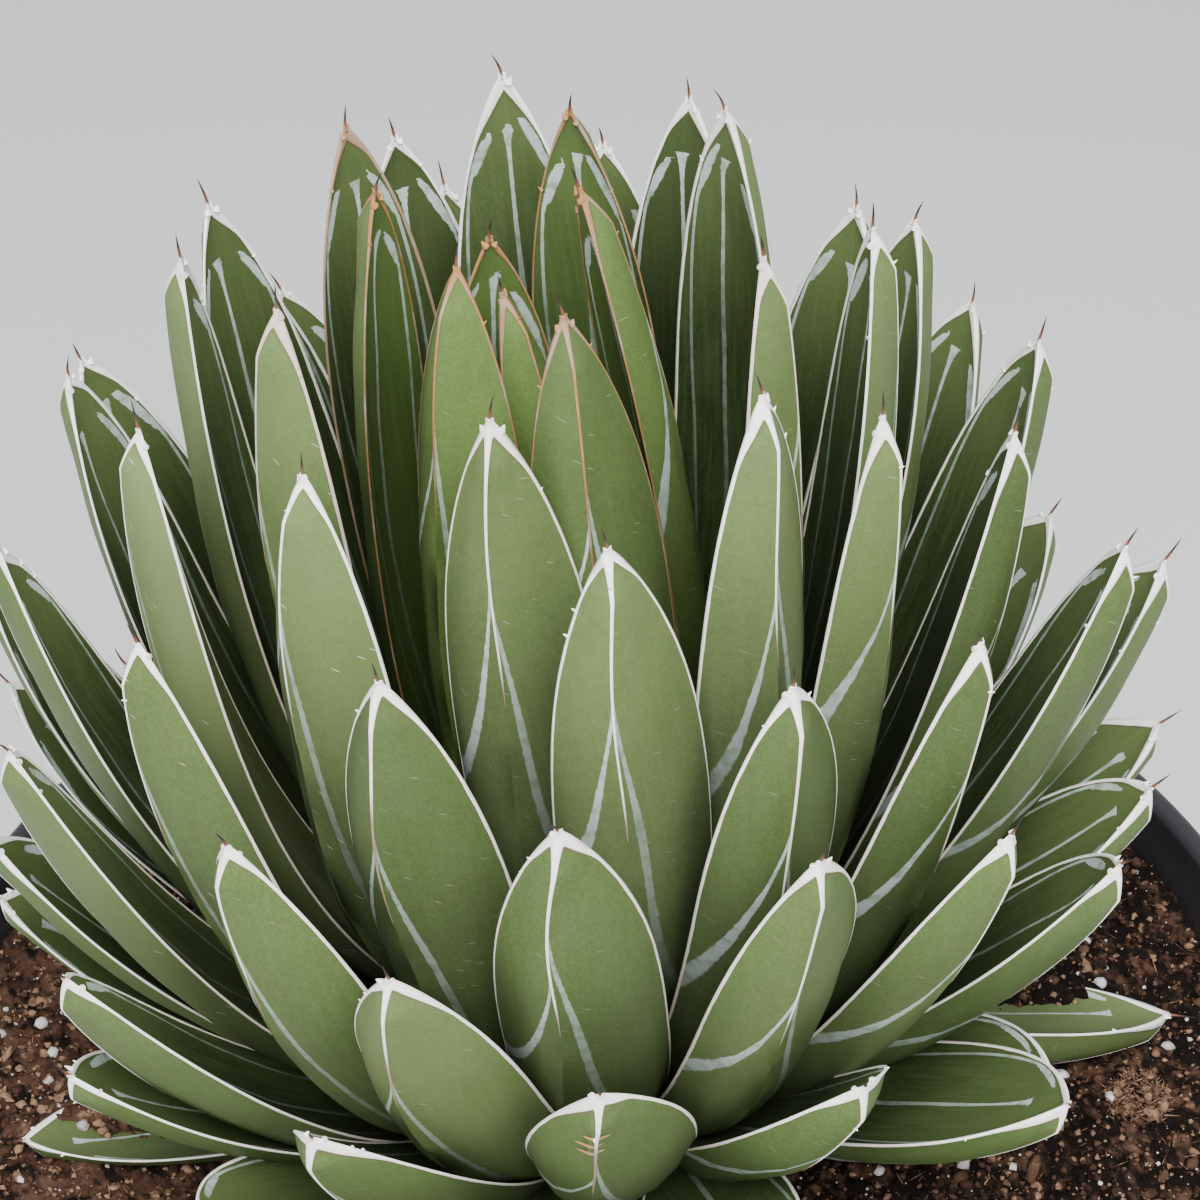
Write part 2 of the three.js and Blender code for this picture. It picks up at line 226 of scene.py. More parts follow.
class Leaf:
    """One leaf: where it grows, its size, and the small ways in which it is itself."""

    def __init__(self, number):
        luck = random.Random(number)
        t = min(number / LEAF_STEPS, 1)
        own_turn, own_lean, own_length = OWN_WAY.get(number, (0, 0, 0))
        turn = FIRST_TURN + GOLDEN_ANGLE * number + own_turn
        sun = SUN_BEND * min(1, t / SUN_FULL_AT) * math.cos(math.radians(turn - SUN_TURN))
        self.number = number
        self.age = t
        self.turn = math.radians(turn)
        self.outward = np.array((math.sin(self.turn), -math.cos(self.turn), 0))
        self.lean = math.radians(through(LEAF_LEAN, t) + own_lean)
        self.bend = math.radians(through(LEAF_BEND, t) + sun)
        shorter = BUD_SHORTER * math.exp(-number / BUD_SPAN)
        self.length = through(LEAF_LENGTH, t) - shorter + own_length
        narrower = BUD_NARROWER * math.exp(-number / BUD_WIDTH_SPAN)
        self.width = LEAF_WIDTH_HEART + LEAF_WIDTH_GAIN * math.sqrt(t) - narrower
        self.roll = math.radians(OWN_ROLL.get(number, 0))
        self.root_radius = stem_radius(t) - ROOT_DEPTH
        self.root_height = stem_height(t)

        draw = luck.uniform
        self.sweep = draw(-1.4, 1.4)
        self.twist = math.radians(draw(-4, 4))
        self.keel_side = -KEEL_OFFSET + draw(-0.05, 0.05)
        self.keel_wave = draw(0.02, 0.06)
        self.phase = draw(0, 2 * math.pi)
        self.keel_ends = self.length * draw(0.27, 0.36)
        self.gold_from = GOLDEN_KEELS.get(number, self.keel_ends - GOLD_BEFORE_END)
        slim = 0.5 if number <= LAST_TAN_LEAF else 1.0
        self.slim = slim
        self.shoulders = {side: (slim * draw(1.1, 2.3), draw(6, 13)) for side in (-1, 1)}
        self.ridge = slim * draw(0.8, 1.5)
        # Each print: how far down it starts, and how it drifts or how far it runs and swells.
        self.steep_print = (draw(0.14, 0.22) * self.length, draw(0.22, 0.35))
        self.shallow_print = (draw(0.12, 0.2) * self.length, draw(0.08, 0.13))
        self.commas = [(draw(9, 17), draw(12, 20), draw(1.3, 2.7)) for _ in range(2)]
        self.crown = draw(11, 16)
        self.crown_side = draw(-0.12, 0.2)
        self.crown_tilt = draw(-1.6, 1.6)
        self.tan = 1.0 if number <= LAST_TAN_LEAF else BLEACHING.get(number, draw(0, 0.12))
        self.flecks = 1.0 if number in SCRATCHED_LEAVES else draw(0, 0.5)
        self.tone = OWN_TONE_AND_LIGHT.get(number, draw(-0.3, 0.3))
        self.luck = luck

    def width_share(self, s):
        to_root = 1 - s / LEAF_WIDEST_AT
        below = 1 - (1 - LEAF_ROOT_WIDTH) * to_root**2
        to_tip = np.clip((s - LEAF_WIDEST_AT) / (1 - LEAF_WIDEST_AT), 0, 1)
        above = (1 - to_tip**TIP_SHOULDER) ** TIP_POINT
        return np.where(s < LEAF_WIDEST_AT, below, above)

    def thickness_share(self, s):
        swelling = np.sin(np.clip(s / LEAF_FATTEST_AT, 0, 1) * math.pi / 2)
        below = LEAF_ROOT_THICKNESS + (1 - LEAF_ROOT_THICKNESS) * swelling
        to_tip = np.clip((s - LEAF_FATTEST_AT) / (1 - LEAF_FATTEST_AT), 0, 1)
        above = 1 - (1 - LEAF_TIP_THICKNESS) * to_tip**TIP_TAPER
        return np.where(s < LEAF_FATTEST_AT, below, above)

    def lean_at(self, s):
        return self.lean + self.bend * ((1 - s) ** BEND_FADE - 1 / (BEND_FADE + 1))

    def centres(self, s):
        """Points on the centre line, in the plant's own frame."""
        steps = np.linspace(0, 1, CENTRE_STEPS)
        lean = self.lean_at((steps[1:] + steps[:-1]) / 2)
        step = self.length / len(lean)
        out = np.concatenate(([0], np.cumsum(np.sin(lean)) * step))
        up = np.concatenate(([0], np.cumsum(np.cos(lean)) * step))
        points = column(self.root_radius + np.interp(s, steps, out)) * self.outward
        points[:, 2] = self.root_height + np.interp(s, steps, up)
        return points

    def axes(self, lean):
        """Directions across the leaf, into its inner face and forward along it, at each station."""
        sideways = np.array((math.cos(self.turn), math.sin(self.turn), 0))
        upward = np.array((0, 0, 1))
        lean = column(np.atleast_1d(lean))
        facing = -np.cos(lean) * self.outward + np.sin(lean) * upward
        across = sideways * math.cos(self.roll) + facing * math.sin(self.roll)
        inward = facing * math.cos(self.roll) - sideways * math.sin(self.roll)
        forward = np.sin(lean) * self.outward + np.cos(lean) * upward
        return across, inward, forward

    def spot(self, down):
        """Centre, three directions, half width and keel depth, at a distance down from the tip."""
        s = np.array((1 - down / self.length,))
        half = max(self.width / 2 * self.width_share(s)[0], SPINE_RADIUS)
        depth = min(self.width * LEAF_THICKNESS * self.thickness_share(s)[0], half * KEEL_LIMIT)
        across, inward, forward = (direction[0] for direction in self.axes(self.lean_at(s)))
        return self.centres(s)[0], across, inward, forward, half, depth


class Skin:
    """Grows one mesh out of rings and tubes, with numbers at each point that its material reads."""

    # horn: how far from an edge or the keel, in widths of its horn. inner: 1 on the inner face.
    # down, reach: mm from the tip and across. left, right, middle: how far from a print.
    # spine: 1 where a thorn is darkest. tan, flecks: how much horn is tan and flesh scratched.
    # age: 0 in the heart, 1 at the foot. tone: paler above 0, darker below; painted light and shade
    # on the listed leaves, a small random tone on the rest.
    FIELDS = (
        "horn", "inner", "down", "reach", "left", "right", "middle",
        "spine", "tan", "age", "flecks", "tone",
    )

    def __init__(self):
        self.points = []
        self.faces = []
        self.fields = {name: [] for name in self.FIELDS}

    def add(self, rings, **fields):
        """A closed tube of rings: stations by points by 3, clockwise as seen from the last ring.

        A field that isn't given is 0.
        """
        stations, around, _ = rings.shape
        first = sum(map(len, self.points))
        self.points.append(rings.reshape(-1, 3))
        for name in self.FIELDS:
            value = np.broadcast_to(fields.get(name, 0.0), (stations, around))
            self.fields[name].append(np.array(value, dtype=float).ravel())
        index = first + np.arange(stations * around).reshape(stations, around)
        near = index[:-1]
        far = index[1:]
        quads = np.stack((near, far, np.roll(far, -1, 1), np.roll(near, -1, 1)), axis=-1)
        self.faces.extend(quads.reshape(-1, 4).tolist())
        self.faces.append(index[0].tolist())
        self.faces.append(index[-1][::-1].tolist())

    def piece(self, name, finish):
        points = np.concatenate(self.points)
        turned = np.array(PLANT.to_3x3())
        points = (points @ turned.T + np.array(PLANT.translation)) * MM
        made = mesh_piece(name, points, self.faces, finish)
        for field, values in self.fields.items():
            carry(made, field, np.concatenate(values))
        return made


def in_scene(name, data):
    made = bpy.data.objects.new(name, data)
    bpy.context.scene.collection.objects.link(made)
    return made


def mesh_piece(name, points, faces, finish):
    """A smooth mesh object in the row's frame, in metres, with one finish."""
    mesh = bpy.data.meshes.new(name)
    mesh.from_pydata([tuple(p) for p in points], [], faces)
    mesh.update()
    mesh.shade_smooth()
    mesh.materials.append(finish)
    return in_scene(name, mesh)


def carry(made, field, values):
    """Gives each point of a mesh a number that its finish reads."""
    attribute = made.data.attributes.new(field, "FLOAT", "POINT")
    attribute.data.foreach_set("value", np.array(values, dtype=np.float32))


# ---- one leaf's surface


def margin_width(leaf, down, side):
    """Width of the white edge on one side, in mm, at a distance down from the tip."""
    wide, span = leaf.shoulders[side]
    slow = 0.1 * np.sin(down * 0.17 + side * leaf.phase)
    quick = 0.08 * np.sin(down * 0.63 - side * leaf.phase)
    return MARGIN_WIDTH * leaf.slim * (1 + slow + quick) + wide * np.exp(-((down / span) ** 3))


def keel_width(leaf, down):
    """Half width of the white keel line, in mm. It runs out to a point a third of the way down."""
    cap = KEEL_AT_TIP * np.exp(-((down / KEEL_TIP_SPAN) ** 1.5))
    spread = KEEL_SPREAD * np.exp(-down / KEEL_SPREAD_SPAN)
    ends = np.clip((leaf.keel_ends - down) / KEEL_FADE, 0, 1) ** 0.6
    return np.maximum((KEEL_WIDTH + leaf.ridge * (spread + cap)) * ends, 0.02)


def outer_prints(leaf, down, from_keel):
    """Where the margins of the leaves outside pressed on the outer face while in bud.

    Each print leaves the keel some way down and drifts away from it, steeply on the left and slowly
    on the right. The fields are the distances from their middle lines over half their width.
    """
    fields = []
    for (start, slope), side in ((leaf.steep_print, -1), (leaf.shallow_print, 1)):
        run = down - start
        line = slope * np.where(run > 0, run * run / (np.abs(run) + 9), 0.6 * run)
        line = line * (1 + 0.12 * np.sin(run * 0.04 + leaf.phase))
        wide = 0.3 + 0.6 * smooth(0, 50, run)
        away = side * from_keel
        near = np.clip((away - line) / wide, -NO_PRINT, NO_PRINT)
        fields.append(np.where(away > -0.01, near, NO_PRINT))
    return fields


def inner_prints(leaf, down, x, half):
    """Prints on the inner face: a comma at each margin, which trails off in a long faint line, and
    between them a stripe that hangs from a broad crown.
    """
    fields = []
    for (start, span, fat), side in zip(leaf.commas, (-1, 1)):
        share = np.clip((down - start) / span, 0, 1)
        wide = 0.004 + 0.35 * smooth(0, 2, down - start) + fat * share**0.6 * (1 - share) ** 0.9
        trail = 0.06 * np.maximum(down - start - span, 0)
        from_edge = 0.8 + wide + 1.8 * (1 - share) ** 4 + trail
        away = side * x - (half - from_edge)
        fields.append(np.clip(away / wide, -NO_PRINT, NO_PRINT))
    run = down - leaf.crown
    crown = 2.0 * np.exp(-np.maximum(run, 0) / 2.6)
    wide = 0.004 + smooth(0, 1.2, run) * (0.42 + 0.25 * smooth(0, 60, run) + crown)
    sway = 1.2 * np.sin(down * 0.035 + leaf.phase)
    line = leaf.crown_side * half + sway + leaf.crown_tilt * crown / 2
    fields.append(np.clip((x - line) / wide, -NO_PRINT, NO_PRINT))
    return fields


def lengths_along(x, y):
    """Length along each row's curve, from its first point to every point of it."""
    steps = np.hypot(np.diff(x, axis=1), np.diff(y, axis=1))
    return np.concatenate((np.zeros((len(x), 1)), np.cumsum(steps, axis=1)), axis=1)


def points_along(x, y, lengths, wanted):
    """The points of each row's curve at the wanted lengths along it."""
    return [
        np.array([np.interp(to, run, row) for to, run, row in zip(wanted, lengths, rows)])
        for rows in (x, y)
    ]


def crowding(room, horn):
    """How far the points of a line of horn draw together where their face is narrow."""
    return np.minimum(1, HORN_ROOM * room / (HORN_STEPS[-1] * horn))


class Blade:
    """The blade of a leaf in rings of points, a ring for each station from root to tip.

    Until it is placed, x runs across the leaf and y into its inner face, from the centre line.
    """

    def __init__(self, leaf):
        s = 1 - (1 - np.linspace(0, 1, STATIONS)) ** TIP_CROWDING
        down = (1 - s) * leaf.length
        self.leaf = leaf
        self.s = s
        self.down = column(down)
        self.half = column(np.maximum(leaf.width / 2 * leaf.width_share(s), SPINE_RADIUS))
        full = column(leaf.width * LEAF_THICKNESS * leaf.thickness_share(s))
        self.keel = np.maximum(np.minimum(full, self.half * KEEL_LIMIT), SPINE_RADIUS)
        wave = leaf.keel_wave * np.sin(down * 0.07 + leaf.phase) * smooth(0, 12, down)
        self.keel_x = self.half * (leaf.keel_side + column(wave))
        self.margin = {side: column(margin_width(leaf, down, side)) for side in (-1, 1)}
        self.ridge = column(keel_width(leaf, down))

    def inner_face(self):
        """x, y and horn of the hollow inner face, from its left edge to its right."""
        half = self.half
        left_horn, right_horn = self.margin[-1], self.margin[1]
        full_hollow = 2 * half * LEAF_HOLLOW * column(np.minimum(1, 2 * self.s))
        hollow = np.minimum(full_hollow, self.keel / 2)
        left = -half + left_horn * crowding(half, left_horn) * HORN_STEPS
        right = half - (right_horn * crowding(half, right_horn) * HORN_STEPS)[:, ::-1]
        shares = np.linspace(0, 1, 9)[1:-1]
        middle = left[:, -1:] + (right[:, :1] - left[:, -1:]) * shares
        x = np.concatenate((left, middle, right), axis=1)
        y = -hollow * (1 - (x / half) ** 2)
        return x, y, np.minimum((half + x) / left_horn, (half - x) / right_horn)

    def outer_flank(self, side):
        """x, y and horn of the outer face on one side, from its margin to the keel."""
        flank = column(FLANK_DEPTH_ROOT + (FLANK_DEPTH_TIP - FLANK_DEPTH_ROOT) * self.s)
        sharp = column(KEEL_SHARPNESS * self.s)
        round_share = (flank - sharp * (1 - FLANK_AT)) / (1 - sharp)
        power = np.log(1 - round_share) / math.log(FLANK_AT)
        share = np.linspace(0, 1, FLANK_SAMPLES) ** FLANK_CROWDING
        curve_x = side * (self.half - (self.half - side * self.keel_x) * share)
        curve_y = -self.keel * (sharp * share + (1 - sharp) * (1 - (1 - share) ** power))
        lengths = lengths_along(curve_x, curve_y)
        whole = lengths[:, -1:]
        margin = self.margin[side]
        crowd = crowding(whole, margin + self.ridge)
        near = margin * crowd * HORN_STEPS
        far = whole - self.ridge * crowd * HORN_STEPS[::-1]
        middle = near[:, -1:] + (far[:, :1] - near[:, -1:]) * np.array((0.25, 0.5, 0.75))
        from_edge = np.concatenate((near, middle, far), axis=1)
        x, y = points_along(curve_x, curve_y, lengths, from_edge)
        edge = np.maximum(from_edge / margin, 0.01)
        crest = np.maximum((whole - from_edge) / self.ridge, 0.01)
        return x, y, (edge**-4 + crest**-4) ** -0.25

    def rings(self):
        """x, y and horn of every point, and whether it is on the inner face (1) or not (0)."""
        inner = self.inner_face()
        x, y, horn = (
            np.concatenate((face, right[:, 1:], left[:, -2:0:-1]), axis=1)
            for face, right, left in zip(inner, self.outer_flank(1), self.outer_flank(-1))
        )
        inside = np.zeros(x.shape[1])
        inner_count = inner[0].shape[1]
        inside[:inner_count] = 1
        inside[0] = inside[inner_count - 1] = 0.5
        return x, y, np.clip(horn, 0, NO_HORN), inside

    def raised(self, x, y, horn, bare_keel):
        """The horn stands a little proud of the flesh, and the flesh itself is not quite even."""
        step_x = np.roll(x, -1, 1) - np.roll(x, 1, 1)
        step_y = np.roll(y, -1, 1) - np.roll(y, 1, 1)
        size = np.maximum(np.hypot(step_x, step_y), 1e-6)
        down = self.down
        phase = self.leaf.phase
        swell = 0.22 * np.sin(down * 0.13 + x * 0.2 + phase) * np.sin(down * 0.047 + 2 * phase)
        proud = HORN_LIFT * (1 - smooth(0.8, 1.15, horn)) * smooth(0, 4, down) * ~bare_keel
        proud = proud + swell * smooth(1.0, NO_HORN, horn)
        return x - step_y / size * proud, y + step_x / size * proud

    def placed(self, x, y):
        """The rings in the plant's own frame, with the leaf's small twist and sway."""
        leaf = self.leaf
        twist = column(leaf.twist * (self.s - 0.3))
        sway = column(leaf.sweep * np.sin(math.pi * self.s) * smooth(0, 0.4, self.s))
        turned_x = x * np.cos(twist) - y * np.sin(twist) + sway
        turned_y = x * np.sin(twist) + y * np.cos(twist)
        across, inward, _ = leaf.axes(leaf.lean_at(self.s))
        rings = leaf.centres(self.s)[:, None, :]
        rings = rings + turned_x[:, :, None] * across[:, None, :]
        return rings + turned_y[:, :, None] * inward[:, None, :]


def grow_blade(skin, leaf):
    blade = Blade(leaf)
    x, y, horn, inside = blade.rings()
    down = blade.down
    from_keel = x - blade.keel_x
    on_inner = inside > 0.6
    on_keel = (inside < 0.3) & (np.abs(from_keel) < KEEL_REACH)
    bare_keel = on_keel & (down > leaf.keel_ends)
    gold = 0.9 * smooth(leaf.gold_from, leaf.gold_from + GOLD_FADE, down)
    steep, shallow = outer_prints(leaf, down, from_keel)
    comma_left, comma_right, stripe = inner_prints(leaf, down, x, blade.half)
    skin.add(
        blade.placed(*blade.raised(x, y, horn, bare_keel)),
        horn=np.where(bare_keel, NO_HORN, horn),
        inner=inside,
        down=down,
        reach=x,
        left=np.where(on_inner, comma_left, steep),
        right=np.where(on_inner, comma_right, shallow),
        middle=np.where(on_inner, stripe, NO_PRINT),
        tan=np.where(on_keel, np.maximum(gold, leaf.tan), leaf.tan),
        age=leaf.age,
        flecks=leaf.flecks,
        tone=leaf.tone,
    )


def thorn(skin, leaf, base, direction, length, radius, curl, brown, tan=None):
    """A slender curved cone that grows from base and curls toward the vector curl.

    brown is how far its finish has gone from horn to dark brown, at its base and at its point.
    """
    share = np.linspace(0, 1, SPINE_RINGS)
    axis = direction / np.linalg.norm(direction)
    side = np.cross(axis, (0.3, 0.2, 0.9))
    side /= np.linalg.norm(side)
    other = np.cross(axis, side)
    middle = base + length * column(share) * axis + column(share**2) * curl
    wide = radius * ((1 - share) ** 0.75 * 0.94 + 0.06)
    angle = -np.linspace(0, 2 * math.pi, SPINE_SIDES, endpoint=False)
    ring = column(np.cos(angle)) * side + column(np.sin(angle)) * other
    rings = middle[:, None, :] + wide[:, None, None] * ring
    low, high = brown
    skin.add(
        rings,
        inner=0.5,
        left=NO_PRINT,
        right=NO_PRINT,
        middle=NO_PRINT,
        spine=column(low + (high - low) * share),
        tan=leaf.tan if tan is None else tan,
        age=leaf.age,
    )


def grow_spine(skin, leaf):
    luck = leaf.luck
    centre, across, inward, forward, _, _ = leaf.spot(0)
    base = centre - inward * SPINE_RADIUS * 0.4 - forward * SPINE_SUNK
    length = luck.uniform(4.2, 7.2) + SPINE_SUNK
    curl = inward * luck.uniform(-0.8, 1.8) + across * luck.uniform(-2.2, 2.2)
    thorn(skin, leaf, base, forward, length, SPINE_THICK, curl, brown=(0.3, 1.0))


def tooth_places(luck):
    """Each lobe or tooth: how far down, its side (0 on the keel), length, radius and outward lean."""
    draw = luck.uniform
    places = []
    for side in (-1, 1):
        if luck.random() < LOBE_CHANCE:
            down = draw(2.0, 4.0)
            length = draw(0.4, 1.3)
            radius = draw(0.6, 1.0)
            places.append((down, side, length, radius, draw(0.2, 0.8)))
    for _ in range(luck.randint(0, 2)):
        places.append((draw(6, 24), luck.choice((-1, 1)), draw(0.5, 1.1), 0.45, 1.0))
    for _ in range(luck.randint(0, 1)):
        places.append((draw(5, 16), 0, draw(0.6, 1.0), 0.4, 1.0))
    return places


def grow_teeth(skin, leaf):
    """Blunt lobes on the shoulders of the cap, and a few small teeth along margins and keel."""
    for down, side, length, radius, outward in tooth_places(leaf.luck):
        centre, across, inward, forward, half, depth = leaf.spot(down)
        if side == 0:
            base = centre - inward * (depth - 0.3) + across * half * leaf.keel_side
            direction = forward * 0.7 - inward
        else:
            base = centre + side * across * (half - TOOTH_SUNK)
            direction = forward + side * across * outward
        curl = forward * 0.3 * length
        stain = leaf.luck.choice((0.0, 0.0, 0.35))
        thorn(skin, leaf, base, direction, length + TOOTH_SUNK, radius, curl, brown=(0.0, stain))


def grow_frays(skin, leaf):
    """Dry tan slivers that have split away from the keel in pairs, like the bones of a fish."""
    for down in FRAYS_DOWN:
        centre, across, inward, forward, half, depth = leaf.spot(down)
        base = centre - inward * (depth - 0.2) + across * half * leaf.keel_side
        for side in (-1, 1):
            rise = 0.25 - 0.15 * side
            direction = side * across + 0.5 * forward + rise * inward
            length = leaf.luck.uniform(2.5, 4.5)
            thorn(skin, leaf, base, direction, length, 0.42, 0.8 * forward, brown=(0.1, 0.3), tan=1)


def leaf_piece(leaf, finish):
    skin = Skin()
    grow_blade(skin, leaf)
    grow_spine(skin, leaf)
    grow_teeth(skin, leaf)
    if leaf.number == FRAYED_LEAF:
        grow_frays(skin, leaf)
    made = skin.piece(f"agave_leaf_{leaf.number:02d}", finish)
    free = FIRST_FREE_LEAF <= leaf.number <= LAST_FREE_LEAF
    settle(made, f"leaf_{leaf.number:02d}" if free else "stem")


def settle(made, node):
    """Every piece rides on the one body and stands for a node, whose own part is hidden."""
    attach(made, "root")
    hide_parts(node)


def turned_rings(profile, sides):
    """Rings round the upright axis through a profile of (radius, height) points."""
    angle = np.linspace(0, 2 * math.pi, sides, endpoint=False)
    radius, height = (column(np.array(values)) for values in zip(*profile))
    return np.stack((radius * np.cos(angle), radius * np.sin(angle), height + 0 * angle), axis=-1)


def turned_faces(rings, around):
    """Quads between the rings of turned_rings, facing away from the axis where heights rise."""
    index = np.arange(rings * around).reshape(rings, around)
    far = index[1:]
    near = index[:-1]
    quads = np.stack((near, np.roll(near, -1, 1), np.roll(far, -1, 1), far), axis=-1)
    return quads.reshape(-1, 4).tolist()


# ---- finishes


class Value:
    """One output of a shader node. Arithmetic on it adds Math nodes to the same finish."""

    def __init__(self, finish, output):
        self.finish = finish
        self.output = output

    def maths(self, operation, *values):
        return self.finish.node("ShaderNodeMath", {"operation": operation}, *values)

    def __add__(self, other):
        return self.maths("ADD", self, other)

    def __sub__(self, other):
        return self.maths("SUBTRACT", self, other)

    def __rsub__(self, other):
        return self.maths("SUBTRACT", other, self)

    def __mul__(self, other):
        return self.maths("MULTIPLY", self, other)

    def __abs__(self):
        return self.maths("ABSOLUTE", self)

    __radd__ = __add__
    __rmul__ = __mul__

    def most(self, other):
        return self.maths("MAXIMUM", self, other)

    def between(self, low, high, start=0.0, end=1.0):
        """Slopes smoothly from start, at low, to end, at high."""
        return self.finish.node("ShaderNodeMapRange", {"interpolation_type": "SMOOTHSTEP"},
                                self, low, high, start, end)


class Finish:
    """A material, built from plain calls that each add one node."""

    # The colour sockets of a Mix node stand after five others that a mix of colours leaves alone.
    BEFORE_MIXED = (None,) * 5

    def __init__(self, name, **inputs):
        self.material = bpy.data.materials.new(name)
        self.material.use_nodes = True
        self.tree = self.material.node_tree
        self.shader = self.tree.nodes["Principled BSDF"]
        self.give(**inputs)

    def plug(self, socket, value):
        if isinstance(value, Value):
            self.tree.links.new(value.output, socket)
        elif value is not None:
            socket.default_value = value

    def node(self, kind, settings, *values, output=0, **named):
        """Adds a node: its settings first, then its sockets in order, then named ones."""
        made = self.tree.nodes.new(kind)
        for setting, value in settings.items():
            setattr(made, setting, value)
        for socket, value in zip(made.inputs, values):
            self.plug(socket, value)
        for name, value in named.items():
            self.plug(made.inputs[name], value)
        return Value(self, made.outputs[output])

    def give(self, **inputs):
        """Sets or links inputs of the shader itself."""
        for name, value in inputs.items():
            self.plug(self.shader.inputs[name.replace("_", " ")], value)

    def field(self, name):
        """A number that the mesh carries at each point."""
        return self.node("ShaderNodeAttribute", {"attribute_name": name}, output="Fac")

    @cached_property
    def place(self):
        return self.node("ShaderNodeTexCoord", {}, output="Object")

    def stretched(self, x, y, z):
        return self.node("ShaderNodeCombineXYZ", {}, x, y, z)

    def cloud(self, scale, detail=3.0, roughness=0.5, where=None):
        """Soft noise from 0 to 1."""
        return self.node("ShaderNodeTexNoise", {}, output="Fac", Vector=where or self.place,
                         Scale=scale, Detail=detail, Roughness=roughness)

    def cells(self, scale, where=None, output="Distance"):
        where = where or self.place
        return self.node("ShaderNodeTexVoronoi", {}, output=output, Vector=where, Scale=scale)

    def mix(self, share, one, other):
        """The colour one where share is 0 and other where it is 1. Plain ones are 0 to 255."""
        shades = (shade if isinstance(shade, Value) else colour(*shade) for shade in (one, other))
        values = share, *self.BEFORE_MIXED, *shades
        return self.node("ShaderNodeMix", {"data_type": "RGBA"}, *values, output=2)

    def layered(self, ground, *layers):
        """Lays colours over the ground by their shares, from the lowest up."""
        for share, shade in layers:
            ground = self.mix(share, ground, shade)
        return ground

    def bumps(self, height, depth):
        """Relief from a height that varies from 0 to 1 over depth millimetres."""
        bump = self.node("ShaderNodeBump", {}, Strength=1.0, Distance=depth * MM, Height=height)
        self.give(Normal=bump)


def colour(red, green, blue):
    """A colour from the usual 0 to 255 numbers, as light."""
    def linear(part):
        part /= 255
        return part / 12.92 if part <= 0.04045 else ((part + 0.055) / 1.055) ** 2.4

    return (linear(red), linear(green), linear(blue), 1.0)


